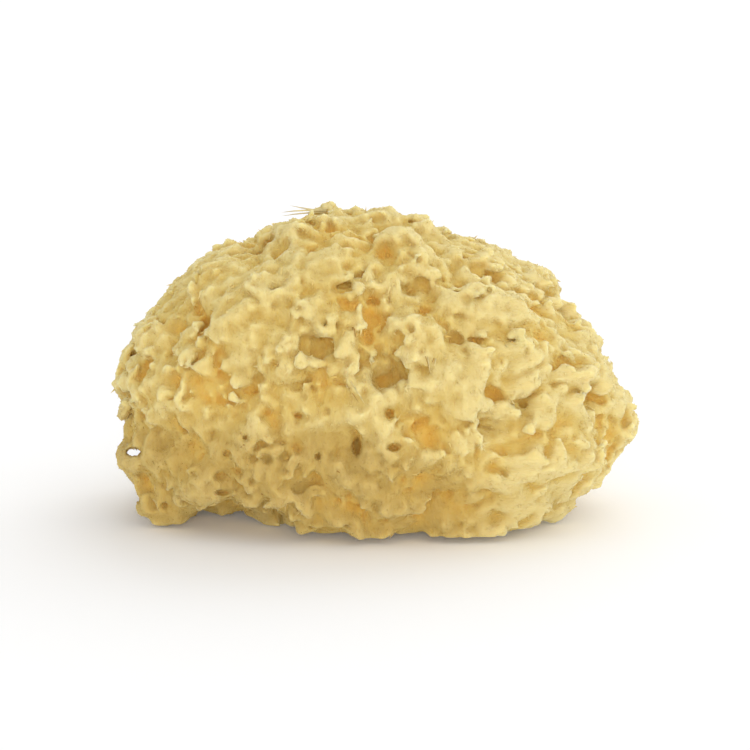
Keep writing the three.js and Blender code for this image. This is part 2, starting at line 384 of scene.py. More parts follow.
# Pores low on the front, placed the same way. They are cut late, and some open a hollow above again
FRONT_PORES = (
    (-26.5, -20.5, 3, 3, 6.5), (-19.5, -27.5, 4, 3.5, 6.5), (-38, -25, 5, 4, 6.5),
    (-26.5, -9.5, 3, 2, 5), (-19, -10, 3, 2, 5), (-29.5, -4, 2.5, 2.5, 6.5),
    (-53.5, -13.5, 3.5, 2.5, 6.5), (-21, -34, 3.5, 2, 5),
    (-14, -20, 2, 2.5, 5), (-37.5, -29, 5.5, 2, 5), (3.5, -9.5, 3, 3.5, 5.5), (-4.5, -17.5, 2.5, 6, 5),
    (18.5, -29, 3.5, 2.5, 5), (0, -33, 2.5, 4, 5), (-6.5, -30, 2.5, 3, 5), (4.5, -18, 4.5, 2.5, 5),
    (-32, -15.5, 2, 2, 5), (-45, -17, 2.5, 2, 5),
)

# What the photograph shows white, placed the same way: across, up, width and height, for the small
# hole by the left edge and for what is cut off the top left
LEFT_HOLE = (-59.5, -19.0, 3.8, 2.2)
TOP_LEFT_CUT = (-24.0, 41.5, 16.0, 7.5)
CUT_REACH = 40.0

# Loose strands on the front, placed the same way: across and up at the root, length, the way the
# tip points in degrees from the right, and radius
PALE_STRANDS = (
    (-12.0, 40.6, 11.5, 178, 0.3), (-12.0, 40.2, 10.5, 180, 0.26), (-11.5, 41.0, 9.5, 182, 0.24),
    (-12.5, 40.4, 8.0, 174, 0.24), (-6.0, -1.5, 5.0, -55, 0.2), (-5.0, -3.0, 4.5, -60, 0.18),
    (-7.0, -2.5, 4.0, -70, 0.18), (13.0, 4.5, 4.0, -80, 0.18), (15.0, 4.0, 3.5, -100, 0.18),
)
BROWN_STRANDS = (
    (-5.6, 11.8, 2.6, -80, 0.24), (-5.2, 11.5, 2.0, -75, 0.16), (12.4, 4.6, 3.4, -72, 0.1),
    (14.6, 4.2, 2.6, -112, 0.1),
    (-6.4, -3.2, 4.2, -56, 0.12), (-7.4, -2.8, 3.0, -62, 0.1), (-32.6, -17.3, 0.7, 0, 0.2),
    (-33.2, -17.9, 0.6, 40, 0.18), (-9.4, -23.7, 0.8, -20, 0.2), (-15.8, -25.9, 0.8, 20, 0.2),
    (-28.1, -29.4, 0.6, 0, 0.18), (-12.0, -26.8, 0.6, 60, 0.16), (-24.0, 2.0, 0.8, 70, 0.16),
    (-14.6, 9.6, 0.9, 80, 0.18),
)


# The grid

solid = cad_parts["sponge"].data
solid.calc_loop_triangles()
low = np.array(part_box("sponge")[0]) / MM
high = np.array(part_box("sponge")[1]) / MM
grid_first = np.floor((low - MARGIN) / VOXEL).astype(int)
grid_shape = tuple(np.ceil((high + MARGIN) / VOXEL).astype(int) - grid_first)
grid_axes = [(grid_first[a] + np.arange(grid_shape[a])) * VOXEL for a in range(3)]


def solid_distance():
    """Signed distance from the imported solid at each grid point, in millimetres, negative inside."""
    points = np.array([v.co for v in solid.vertices], np.float32) / MM
    corners = np.array([t.vertices for t in solid.loop_triangles], np.uint32)
    level = openvdb.FloatGrid.createLevelSetFromPolygons(
        points,
        triangles=corners,
        transform=openvdb.createLinearTransform(voxelSize=VOXEL),
        halfWidth=BAND / VOXEL,
    )
    field = np.zeros(grid_shape, np.float32)
    level.copyToArray(field, ijk=tuple(int(i) for i in grid_first))
    return field


def spread_matrix(count, cell, offset):
    """Weights that spread a coarse row of random values over `count` grid steps, smoothly."""
    place = np.arange(count) * VOXEL / cell + offset
    before = np.floor(place).astype(int)
    share = place - before
    weights = np.zeros((count, before.max() + 4), np.float32)
    rows = np.arange(count)
    weights[rows, before] = (1 - share) ** 3 / 6
    weights[rows, before + 1] = (3 * share**3 - 6 * share**2 + 4) / 6
    weights[rows, before + 2] = (-3 * share**3 + 3 * share**2 + 3 * share + 1) / 6
    weights[rows, before + 3] = share**3 / 6
    return weights


def grid_noise(cell, rng):
    """Soft noise on the grid, from about -1 to 1, with lumps about `cell` millimetres across."""
    along = [spread_matrix(grid_shape[a], cell, rng.random()) for a in range(3)]
    coarse = rng.standard_normal([m.shape[1] for m in along]).astype(np.float32)
    out = np.tensordot(along[2], coarse, (1, 2))
    out = np.tensordot(along[1], out, (1, 2))
    out = np.tensordot(along[0], out, (1, 2))
    return out / out.std() * NOISE_SPREAD


def blurred(field, radius):
    """The field after three box blurs along each axis, near enough to a Gaussian blur."""
    half = max(1, round(radius / VOXEL))
    width = 2 * half + 1
    for axis in range(3):
        for _ in range(3):
            padded = np.pad(field, [(half + 1, half) if a == axis else (0, 0) for a in range(3)], "edge")
            sums = np.cumsum(padded, axis=axis, dtype=np.float64)
            after = np.take(sums, np.arange(width, sums.shape[axis]), axis=axis)
            before = np.take(sums, np.arange(0, sums.shape[axis] - width), axis=axis)
            field = ((after - before) / width).astype(np.float32)
    return field


def sampled(field, points):
    """The field at points in millimetres, between its eight nearest grid points."""
    place = points / VOXEL - grid_first
    # Just short of the last grid point, so that there is always a next one
    place = np.clip(place, 0, np.array(grid_shape) - 1.001)
    cell = place.astype(int)
    share = place - cell
    out = np.zeros(len(points), np.float32)
    for corner in np.ndindex(2, 2, 2):
        weight = np.ones(len(points))
        for axis in range(3):
            weight = weight * (share[:, axis] if corner[axis] else 1 - share[:, axis])
        out += weight * field[tuple((cell + corner).T)]
    return out


# Joining and cutting


def joined(a, b, blend):
    """The union of two distances, rounded over `blend` millimetres where they meet."""
    soft = np.maximum(blend - np.abs(a - b), 0) / blend
    return np.minimum(a, b) - soft * soft * blend / 4


def cut(a, b, blend):
    """Distance a with b taken out of it, rounded over `blend` millimetres at the rim."""
    return -joined(-a, b, blend)


def stamp(field, start, end, radii, blend, how, flat=1.0, flat_way=None):
    """Joins a tapered rod to the field, or cuts one out of it. A rod with flat over 1 is that many
    times thinner along flat_way."""
    reach = max(radii) + blend
    lowest = np.minimum(start, end) - reach
    highest = np.maximum(start, end) + reach
    first = np.maximum(np.floor(lowest / VOXEL).astype(int) - grid_first, 0)
    last = np.minimum(np.ceil(highest / VOXEL).astype(int) + 1 - grid_first, grid_shape)
    if np.any(last <= first):
        return
    window = tuple(slice(a, b) for a, b in zip(first, last))
    x, y, z = (grid_axes[a][window[a]] - start[a] for a in range(3))
    x, y, z = x[:, None, None], y[None, :, None], z[None, None, :]
    rod = end - start
    along = (x * rod[0] + y * rod[1] + z * rod[2]) / (rod @ rod)
    along = np.clip(along, 0, 1)
    dx, dy, dz = x - along * rod[0], y - along * rod[1], z - along * rod[2]
    squared = dx * dx + dy * dy + dz * dz
    if flat > 1:
        side = dx * flat_way[0] + dy * flat_way[1] + dz * flat_way[2]
        squared = squared + (flat * flat - 1) * side * side
    distance = np.sqrt(squared) - (radii[0] + along * (radii[1] - radii[0]))
    field[window] = how(field[window], distance.astype(np.float32), blend)


# Placing


def growth(points):
    """The way out from the heart line at each point."""
    heart = np.zeros_like(points)
    heart[:, 0] = np.clip(points[:, 0], HEART_LEFT, HEART_RIGHT)
    heart[:, 2] = HEART_HEIGHT
    out = points - heart
    return out / np.linalg.norm(out, axis=1, keepdims=True)


def scattered(spacing, rng):
    """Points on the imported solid, none nearer to another than `spacing` millimetres there."""
    points = np.array([v.co for v in solid.vertices]) / MM
    corners = points[np.array([t.vertices for t in solid.loop_triangles])]
    sides = np.cross(corners[:, 1] - corners[:, 0], corners[:, 2] - corners[:, 0])
    areas = np.linalg.norm(sides, axis=1) / 2
    count = int(areas.sum() / spacing**2 * TRIES)
    chosen = rng.choice(len(areas), count, p=areas / areas.sum())
    u, v = np.sqrt(rng.random(count)), rng.random(count)
    shares = np.stack([1 - u, u * (1 - v), u * v], axis=1)
    tries = (corners[chosen] * shares[:, :, None]).sum(axis=1)
    kept, cells = [], {}
    for point in tries:
        x, y, z = (point // spacing).astype(int)
        near = [
            other
            for dx, dy, dz in np.ndindex(3, 3, 3)
            for other in cells.get((x + dx - 1, y + dy - 1, z + dz - 1), ())
        ]
        if all(((point - other) ** 2).sum() >= spacing * spacing for other in near):
            cells.setdefault((x, y, z), []).append(point)
            kept.append(point)
    return np.array(kept)


def ramp(value, start, end):
    """0 at start and 1 at end, easing between them."""
    share = np.clip((value - start) / (end - start), 0, 1)
    return share * share * (3 - 2 * share)


def skin_share(points):
    """1 on the smoother, porous skin low on the sponge's sides, 0 on the tufted top."""
    slope = points[:, 2] + SKIN_SLOPE * np.maximum(points[:, 0] - SKIN_SLOPE_START, 0)
    return ramp(slope, SKIN_TOP, SKIN_FULL)


def finger_share(points):
    """1 on the right-hand lobe, where long tufts point outwards."""
    return ramp(points[:, 0], FINGER_START, FINGER_FULL)


def on_front(points):
    """Whether each point is on the front, which has tufts and hollows of its own."""
    return (points[:, 1] < FRONT_Y) & (points[:, 2] > FRONT_Z)


def any_way(count, rng):
    """Random directions."""
    ways = rng.standard_normal((count, 3))
    return ways / np.linalg.norm(ways, axis=1, keepdims=True)


def square_to(ways, rng):
    """A random direction square to each way."""
    side = np.cross(ways, any_way(len(ways), rng))
    return side / np.linalg.norm(side, axis=1, keepdims=True)


# Sculpting


def solid_tree():
    """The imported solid, ready for rays."""
    points = [v.co / MM for v in solid.vertices]
    return BVHTree.FromPolygons(points, [t.vertices for t in solid.loop_triangles])


def seen_point(tree, across, up):
    """The point of the tree's surface that the camera sees there, or None beside it."""
    ray = AIM + VIEW_RIGHT * across + VIEW_UP * up - EYE
    hit = tree.ray_cast(Vector(EYE), Vector(ray))[0]
    return None if hit is None else np.array(hit)


def lobe(field, root, tip, out, width, thick, taper):
    """Joins a flat, tapered tuft to the body, thin along the way out."""
    radii = (width / 2, width / 2 * taper)
    stamp(field, root, tip, radii, TUFT_BLEND, joined, max(1.0, width / thick), out)


def add_front_tufts(field, tree):
    """Joins the tufts that the photograph shows."""
    for across, up, length, width, angle, lift in FRONT_TUFTS:
        turn = math.radians(angle)
        step_right, step_up = math.cos(turn) * length / 2, math.sin(turn) * length / 2
        middle = seen_point(tree, across, up)
        if middle is None:
            middle = seen_point(tree, across * PULLED_IN, up * PULLED_IN)
        if middle is None:
            continue
        away = VIEW_RIGHT * step_right + VIEW_UP * step_up
        out = growth(middle[None])[0] + VIEW_BACK
        out /= np.linalg.norm(out)
        root = seen_point(tree, across - step_right, up - step_up)
        tip = seen_point(tree, across + step_right, up + step_up)
        root = middle - away if root is None else root
        tip = middle + away if tip is None else tip
        thick = max(FRONT_TUFT_THINNEST, FRONT_TUFT_THICKNESS * width)
        sink = TUFT_SINK * thick
        start = root - out * (sink + FRONT_TUFT_ROOT)
        end = tip + out * (FRONT_TUFT_LIFT * lift - sink)
        lobe(field, start, end, out, FRONT_TUFT_WIDTH * width, thick, FRONT_TUFT_TAPER)


def flow(points, rng):
    """The way that tufts lie on the surface: drooping on the left, outwards to the right."""
    out = growth(points)
    finger = finger_share(points)[:, None]
    droop = points * DROOP_SPREAD + DOWN
    way = droop * (1 - finger) + FINGER_WAY * finger + FLOW_STRAY * any_way(len(points), rng)
    way -= out * (way * out).sum(axis=1, keepdims=True)
    return way / np.linalg.norm(way, axis=1, keepdims=True)


def on_surface(field, points, out):
    """The points moved along the way out to the sculpted surface."""
    depth = np.full(len(points), np.nan)
    for step in np.arange(SEARCH_OUT, SEARCH_IN, -SEARCH_STEP):
        inside = sampled(field, points + out * step) < 0
        depth = np.where(np.isnan(depth) & inside, step, depth)
    return points + out * np.nan_to_num(depth)[:, None]


def add_tufts(field, rng):
    """Joins overlapping tufts all over, fewer on the skin and on the front that has its own."""
    for spacing, size in TUFT_SIZES:
        places = scattered(spacing, rng)
        count = len(places)
        out, way = growth(places), flow(places, rng)
        skin, finger = skin_share(places), finger_share(places)
        length = size * rng.uniform(*TUFT_LENGTH, count)
        width = size * rng.uniform(*TUFT_WIDTH, count) * (1 - TUFT_NARROWER * finger)
        thick = np.maximum(TUFT_THINNEST, width * rng.uniform(*TUFT_THICKNESS, count))
        lift = size * rng.uniform(*TUFT_LIFT, count) * (1 - TUFT_FLATTER * skin)
        bare = np.maximum(TUFT_BARE_SKIN * skin, TUFT_BARE_FRONT * on_front(places) * size)
        keep = (rng.random(count) > bare) & (places[:, 2] > TUFT_LOWEST)
        for i in np.nonzero(keep)[0]:
            sink = TUFT_SINK * thick[i]
            root = places[i] - out[i] * (sink + TUFT_ROOT) - way[i] * TUFT_BEFORE * length[i]
            tip = places[i] + out[i] * (lift[i] - sink) + way[i] * TUFT_AFTER * length[i]
            lobe(field, root, tip, out[i], width[i], thick[i], rng.uniform(*TUFT_TAPER))


def add_flakes(field, rng):
    """Joins small thin flakes that make the tufts shaggy."""
    roots = scattered(FLAKE_SPACING, rng)
    out = growth(roots)
    on_skin, on_finger = FLAKE_BARE_SKIN * skin_share(roots), FLAKE_BARE_FINGER * finger_share(roots)
    bare = FLAKE_BARE + np.maximum(on_skin, on_finger)
    keep = (rng.random(len(roots)) > bare) & (roots[:, 2] > FLAKE_LOWEST)
    roots, out = roots[keep], out[keep]
    roots = on_surface(field, roots, out)
    way = flow(roots, rng)
    count = len(roots)
    finger = finger_share(roots)
    length = rng.uniform(*FLAKE_LENGTH, count) * (1 + FLAKE_LONGER * finger)
    rise = rng.choice(FLAKE_RISES, count, p=FLAKE_RISE_SHARES)
    width = rng.uniform(*FLAKE_WIDTH, count) * (1 - FLAKE_NARROWER * finger)
    tips = roots + (way + out * rise[:, None]) * length[:, None]
    for i in range(count):
        lobe(field, roots[i] - out[i] * FLAKE_ROOT, tips[i], out[i], width[i], FLAKE_THICK, FLAKE_TAPER)


def cut_pores(field, rng):
    """Cuts small pores between the flakes, fewer on the skin and on the right-hand lobe."""
    mouths = scattered(PORE_SPACING, rng)
    out = growth(mouths)
    bare = PORE_BARE + PORE_BARE_SKIN * skin_share(mouths) + PORE_BARE_FINGER * finger_share(mouths)
    keep = (rng.random(len(mouths)) > bare) & (mouths[:, 2] > PORE_LOWEST)
    mouths, out = mouths[keep], out[keep]
    mouths = on_surface(field, mouths, out)
    count = len(mouths)
    ways = out + PORE_STRAY * any_way(count, rng)
    flat_way = square_to(ways, rng)
    flat = rng.uniform(*PORE_FLATNESS, count)
    radius = rng.uniform(*PORE_RADIUS, count)
    depth = rng.uniform(*PORE_DEPTH, count)
    for i in range(count):
        start, end = mouths[i] + ways[i] * PORE_REACH, mouths[i] - ways[i] * depth[i]
        radii = [share * radius[i] for share in PORE_TAPER]
        stamp(field, start, end, radii, PORE_BLEND, cut, flat[i], flat_way[i])


def cut_front_hollows(field, tree, rows):
    """Cuts hollows that the photograph shows, straight in along the camera's view."""
    for across, up, width, height, depth in rows:
        mouth = seen_point(tree, across, up)
        if mouth is None:
            continue
        inward = (mouth - EYE) / np.linalg.norm(mouth - EYE)
        wide = max(width, height) / 2
        flat = wide / (min(width, height) / 2)
        flat_way = VIEW_UP if width > height else VIEW_RIGHT
        start = mouth - inward * FRONT_HOLLOW_REACH
        end = mouth + inward * FRONT_HOLLOW_DEPTH * depth
        radii = [share * wide for share in FRONT_HOLLOW_TAPER]
        stamp(field, start, end, radii, CANAL_BLEND, cut, flat, flat_way)


def cut_through(field, across, up, width, height):
    """Cuts an oval all the way through along the camera's view."""
    middle = AIM + VIEW_RIGHT * across + VIEW_UP * up
    inward = (middle - EYE) / np.linalg.norm(middle - EYE)
    start, end = middle - inward * CUT_REACH, middle + inward * CUT_REACH
    stamp(field, start, end, (width / 2, width / 2), THROUGH_BLEND, cut, width / height, VIEW_UP)


def cut_canals(field, rng):
    """Cuts winding canals into the body: wide among the tufts, small and round in the skin."""
    for spacing, size, flattest in CANAL_SIZES:
        mouths = scattered(spacing, rng)
        count = len(mouths)
        out = growth(mouths)
        skin = skin_share(mouths)
        radius = size * rng.uniform(*CANAL_RADIUS, count) * (1 - CANAL_NARROWER * skin)
        depth = size * rng.uniform(*CANAL_DEPTH, count)
        turn = any_way(count, rng) * CANAL_BEND
        flat_way = square_to(out, rng)
        flat = 1 + (rng.uniform(1, flattest, count) - 1) * (1 - skin)
        bare = np.maximum(CANAL_BARE_SKIN * skin, CANAL_BARE_FRONT * on_front(mouths))
        for i in np.nonzero(rng.random(count) > bare)[0]:
            start = mouths[i] + out[i] * CANAL_REACH
            middle = mouths[i] - out[i] * CANAL_BEFORE * depth[i]
            end = middle - (out[i] + turn[i]) * CANAL_AFTER * depth[i]
            radii = [share * radius[i] for share in CANAL_TAPER]
            stamp(field, start, middle, radii[:2], CANAL_BLEND, cut, flat[i], flat_way[i])
            stamp(field, middle, end, radii[1:], CANAL_BLEND, cut, flat[i], flat_way[i])


def near_surface(field, reach):
    """The grid points within `reach` millimetres of the surface, as indexes and as places."""
    near = np.nonzero(np.abs(field) < reach)
    return near, np.stack([grid_axes[a][near[a]] for a in range(3)], axis=1)


def roughen(field, rng):
    """Moves the surface in and out with noise and crumbs, lower on the skin, and with long crumbs on
    the right-hand lobe."""
    where = np.stack(np.meshgrid(*grid_axes, indexing="ij"), axis=-1).reshape(-1, 3)
    skin = skin_share(where).reshape(grid_shape).astype(np.float32)
    finger = finger_share(where).reshape(grid_shape).astype(np.float32)
    for size, height, lower, gone in ROUGHNESS:
        field += grid_noise(size, rng) * (height - lower * skin) * (1 - gone * finger)
    near, places = near_surface(field, CRUMB_REACH)
    for axis in range(3):
        places[:, axis] += CRUMB_BEND * grid_noise(CRUMB_BEND_SIZE, rng)[near]
    lumps = sum(height * (crumbs(places, size, rng) - CRUMB_LEVEL) for size, height in CRUMBS)
    lumps = lumps * (1 - CRUMB_LESS * skin_share(places))
    along = places @ FEATHER_WAY
    squeezed = places - FEATHER_DRAWN * along[:, None] * FEATHER_WAY
    feathers = FEATHER_HEIGHT * (crumbs(squeezed, FEATHER_SIZE, rng) - CRUMB_LEVEL)
    share = finger_share(places)
    field[near] += lumps * (1 - share) + feathers * share


def crumbs(points, size, rng):
    """How far each point is from the nearest of many scattered middles, in crumb sizes, with soft
    creases between them."""
    cell = np.floor(points / size).astype(int)
    first = cell.min(axis=0) - 1
    middles = rng.random((*(cell.max(axis=0) - first + 2), 3))
    closeness = np.zeros(len(points))
    for step in np.ndindex(3, 3, 3):
        other = cell + step - 1
        middle = (other + middles[tuple((other - first).T)]) * size
        closeness += np.exp(-CREASE * ((points - middle) ** 2).sum(axis=1) / size**2)
    return np.sqrt(np.maximum(-np.log(closeness) / CREASE, 0))


def torn(field, coarse, fine, rng):
    """The field with its shapes pulled about, so that rims and tips are torn and uneven."""
    near, places = near_surface(field, TEAR_REACH)
    for axis in range(3):
        pull = coarse * grid_noise(COARSE_TEAR, rng)[near]
        places[:, axis] += pull + fine * grid_noise(FINE_TEAR, rng)[near]
    out = field.copy()
    out[near] = sampled(field, places)
    return out


def rest_flat(field):
    """Takes off what reaches below the flat cut that the sponge rests on, or below its raised front."""
    raised = FRONT_RAISED * ramp(grid_axes[1], RISE_START, RISE_END)
    field[:] = np.maximum(field, (low[2] + raised)[None, :, None] - grid_axes[2][None, None, :])


def sculpted():
    """The finished grid of distances, and the outer form's."""
    rng = np.random.default_rng(SEED)
    hull = blurred(solid_distance(), HULL_BLUR)
    field = hull + BODY_DEPTH
    tree = solid_tree()
    cut_canals(field, rng)
    add_tufts(field, rng)
    cut_front_hollows(field, tree, FRONT_HOLLOWS)
    add_front_tufts(field, tree)
    field = joined(field, blurred(hull, HOLLOW_BLUR) + HOLLOW_DEPTH, HOLLOW_BLEND)
    field = torn(field, *FIRST_PULLS, rng)
    add_flakes(field, rng)
    cut_pores(field, rng)
    field = torn(field, *SECOND_PULLS, rng)
    field = cut(field, TUFT_PROUD - hull, PROUD_BLEND)
    cut_through(field, *TOP_LEFT_CUT)
    roughen(field, rng)
    field = joined(field, blurred(field, PIT_BLUR) + PIT_DEPTH, PIT_BLEND)
    cut_front_hollows(field, tree, FRONT_PORES)
    cut_through(field, *LEFT_HOLE)
    rest_flat(field)
    return field, hull


# Meshing


def largest_island(points, faces):
    """The points and faces of the largest connected piece."""
    label = np.arange(len(points))
    while True:
        lowest = label[faces].min(axis=1)
        new = label.copy()
        for corner in range(faces.shape[1]):
            np.minimum.at(new, faces[:, corner], lowest)
        new = new[new]
        if np.array_equal(new, label):
            break
        label = new
    names, counts = np.unique(label, return_counts=True)
    kept_points = label == names[counts.argmax()]
    number = np.cumsum(kept_points) - 1
    kept_faces = faces[kept_points[faces[:, 0]]]
    return points[kept_points], number[kept_faces]


def object_from(name, points, faces):
    """A smooth-shaded mesh object from points in millimetres and faces."""
    mesh = bpy.data.meshes.new(name)
    mesh.vertices.add(len(points))
    mesh.vertices.foreach_set("co", (points * MM).astype(np.float32).ravel())
    size = faces.shape[1]
    mesh.loops.add(faces.size)
    mesh.loops.foreach_set("vertex_index", faces.astype(np.int32).ravel())
    mesh.polygons.add(len(faces))
    mesh.polygons.foreach_set("loop_start", np.arange(0, faces.size, size, dtype=np.int32))
    mesh.polygons.foreach_set("loop_total", np.full(len(faces), size, np.int32))
    mesh.update(calc_edges=True)
    mesh.validate()
    mesh.shade_smooth()
    made = bpy.data.objects.new(name, mesh)
    bpy.context.scene.collection.objects.link(made)
    return made


def apply_modifiers(made):
    """Puts the object's modifiers into its mesh."""
    graph = bpy.context.evaluated_depsgraph_get()
    mesh = bpy.data.meshes.new_from_object(made.evaluated_get(graph))
    made.modifiers.clear()
    old = made.data
    made.data = mesh
    mesh.name = made.name
    bpy.data.meshes.remove(old)


def skin_object(field):
    """The sponge's whole surface as one mesh, thinned to its limit of triangles."""
    level = openvdb.FloatGrid()
    level.background = MARGIN
    level.transform = openvdb.createLinearTransform(voxelSize=VOXEL)
    level.copyFromArray(field, ijk=tuple(int(i) for i in grid_first))
    points, quads = level.convertToQuads(isovalue=0.0)
    points, quads = largest_island(points.astype(np.float64), quads.astype(np.int64)[:, ::-1])
    made = object_from("sponge_skin", points, quads)
    thin = made.modifiers.new("thin", "DECIMATE")
    thin.ratio = min(1.0, SKIN_TRIANGLES / (len(quads) * 2))
    apply_modifiers(made)
    made.data.shade_smooth()
    return made


def vertex_places(made):
    """A mesh's vertices in millimetres."""
    places = np.zeros(len(made.data.vertices) * 3, np.float32)
    made.data.vertices.foreach_get("co", places)
    return places.reshape(-1, 3).astype(np.float64) / MM


def point_values(made, name, values):
    """Gives the mesh one number for each vertex, which its material can read."""
    layer = made.data.attributes.new(name, "FLOAT", "POINT")
    layer.data.foreach_set("value", values.astype(np.float32))


def mark_painted_shade(made, field, hull):
    """Writes each vertex's number for painted light and shade, low on tips and on the right-hand lobe,
    which are painted paler as if lit, and high in hollows, which are painted darker as if in shade, its
    share of the darker colour painted as shade on the low sides and its share of the right-hand lobe.
    Returns the first two."""
    filled = np.clip(0.5 - field / VOXEL, 0, 1)
    places = vertex_places(made)
    # The more sponge around a vertex and the deeper it lies, the darker its painted shade
    shut_in = sum(share * sampled(blurred(filled, reach), places) for reach, share in SHADE_REACHES)
    depth = -sampled(hull, places)
    painted_shade_tone = shut_in + SHADE_DEPTH * depth - SHADE_LESS
    finger = finger_share(places)
    # Painted light: the right-hand lobe is made paler, as if better lit
    painted_shade_tone -= FINGER_PAINTED_LIGHT * finger * (1 - ramp(painted_shade_tone, *PALER_TONES))
    # Painted shade: a darker golden colour on the low sides, less on the right-hand lobe and in hollows
    low_side_shade = skin_share(places) * (1 - FINGER_LESS_SIDE_SHADE * finger)
    low_side_shade = low_side_shade * (1 - HOLLOW_LESS_SIDE_SHADE * ramp(painted_shade_tone, *HOLLOW_TONES))
    point_values(made, "painted_shade_tone", painted_shade_tone)
    # The attribute named skin carries the painted shade of the low sides
    point_values(made, "skin", low_side_shade)
    point_values(made, "finger", finger)
    return painted_shade_tone, low_side_shade


# Materials


class Nodes:
    """Short ways to make and link a material's nodes."""

    def __init__(self, name):
        self.material = bpy.data.materials.new(name)
        self.material.use_nodes = True
        self.tree = self.material.node_tree
        self.shader = self.tree.nodes["Principled BSDF"]

    def put(self, socket, value):
        """Links a value into a socket if it is an output, and sets it there otherwise."""
        if isinstance(value, bpy.types.NodeSocket):
            self.tree.links.new(value, socket)
        else:
            socket.default_value = value

    def attribute(self, name):
        """The mesh's own number of that name."""
        node = self.tree.nodes.new("ShaderNodeAttribute")
        node.attribute_name = name
        return node.outputs["Fac"]

    def noise(self, size, detail, stretch=(1.0, 1.0, 1.0)):
        """Noise from 0 to 1, with lumps about `size` millimetres across, stretched along the axes."""
        place = self.tree.nodes.new("ShaderNodeTexCoord").outputs["Object"]
        mapping = self.tree.nodes.new("ShaderNodeMapping")
        mapping.inputs["Scale"].default_value = [1 / times for times in stretch]
        self.tree.links.new(place, mapping.inputs["Vector"])
        node = self.tree.nodes.new("ShaderNodeTexNoise")
        node.inputs["Scale"].default_value = 1 / (size * MM)
        node.inputs["Detail"].default_value = detail
        self.tree.links.new(mapping.outputs["Vector"], node.inputs["Vector"])
        return node.outputs["Fac"]

    def sum(self, *terms):
        """The sum of outputs, each with its factor."""
        total = None
        for output, factor in terms:
            node = self.tree.nodes.new("ShaderNodeMath")
            node.operation = "MULTIPLY_ADD"
            self.put(node.inputs[0], output)
            node.inputs[1].default_value = factor
            self.put(node.inputs[2], 0.0 if total is None else total)
            total = node.outputs[0]
        return total

    def ramp(self, value, stops):
        """Colours along a value, as places and linear colours."""
        node = self.tree.nodes.new("ShaderNodeValToRGB")
        elements = node.color_ramp.elements
        while len(elements) < len(stops):
            elements.new(1.0)
        for element, (place, colour) in zip(elements, stops):
            element.position = place
            element.color = (*colour, 1)
        self.put(node.inputs["Fac"], value)
        return node.outputs["Color"]

    def mixed(self, share, first, second):
        """A colour between two colours."""
        node = self.tree.nodes.new("ShaderNodeMix")
        node.data_type = "RGBA"
        colours = [socket for socket in node.inputs if socket.type == "RGBA"]
        self.put(node.inputs[0], share)
        self.put(colours[0], first)
        self.put(colours[1], second)
        return next(socket for socket in node.outputs if socket.type == "RGBA")


def matt(name):
    """A new material with no shine."""
    made = Nodes(name)
    made.shader.inputs["Roughness"].default_value = 1.0
    made.shader.inputs["Specular IOR Level"].default_value = 0.0
    return made


def sponge_colour(made):
    """Painted light and shade: pale on the tips as if lit through, a darker, deeper golden colour in the
    hollows as if in shade and on the low skin as painted shade, with mottling.
    """
    mottling = [(made.noise(size, detail), share) for size, detail, share in MOTTLING]
    painted_shade_tone = made.sum((made.attribute("painted_shade_tone"), 1.0), *mottling, (1.0, MOTTLING_SHIFT))
    # How much of the low sides' painted shade shows
    low_side_shade_share = made.sum((made.attribute("skin"), LOW_SIDE_SHADE_SHARE))
    return made.mixed(low_side_shade_share, made.ramp(painted_shade_tone, PAINTED_SHADE_TONES), (*LOW_SIDE_SHADE, 1))


def spongin_material():
    """Matt, soft, slightly see-through sponge with fine fibres, hanging on the left and level on the
    right."""
    made = matt("spongin")
    shader = made.shader
    shader.inputs["Subsurface Weight"].default_value = 1.0
    shader.inputs["Subsurface Radius"].default_value = LIGHT_REACH_COLOURS
    shader.inputs["Subsurface Scale"].default_value = LIGHT_REACH * MM
    made.put(shader.inputs["Base Color"], sponge_colour(made))
    hanging = made.noise(*FIBRES, (1.0, 1.0, FIBRE_DRAWN))
    level = made.noise(*FIBRES, (FIBRE_DRAWN, 1.0, 1.0))
    fibres = made.mixed(made.attribute("finger"), hanging, level)
    lumps = made.noise(*LUMPS)
    bump = made.tree.nodes.new("ShaderNodeBump")
    bump.inputs["Strength"].default_value = RELIEF_STRENGTH
    bump.inputs["Distance"].default_value = RELIEF_HEIGHT * MM
    made.put(bump.inputs["Height"], made.sum((fibres, 1.0), (lumps, LUMP_SHARE)))
    made.put(shader.inputs["Normal"], bump.outputs["Normal"])
    return made.material


def spike_material():
    """Matt fibre with the sponge's colours, their painted light and shade included."""
    made = matt("shreds")
    made.put(made.shader.inputs["Base Color"], sponge_colour(made))
    return made.material


def strand_material(name, colour):
    """Matt fibre of one colour, mottled darker."""
    made = matt(name)
    darker = tuple(STRAND_DARKER * part for part in colour)
    mottled = made.ramp(made.noise(*STRAND_MOTTLING), tuple(zip(STRAND_STOPS, (darker, colour))))
    made.put(made.shader.inputs["Base Color"], mottled)
    return made.material


# Fibres


def arms_around(ways, rng):
    """Three directions square to each way, a third of a turn apart."""
    side = square_to(ways, rng)
    other = np.cross(ways, side)
    turns = [corner * 2 * math.pi / 3 for corner in range(3)]
    return [side * math.cos(turn) + other * math.sin(turn) for turn in turns]


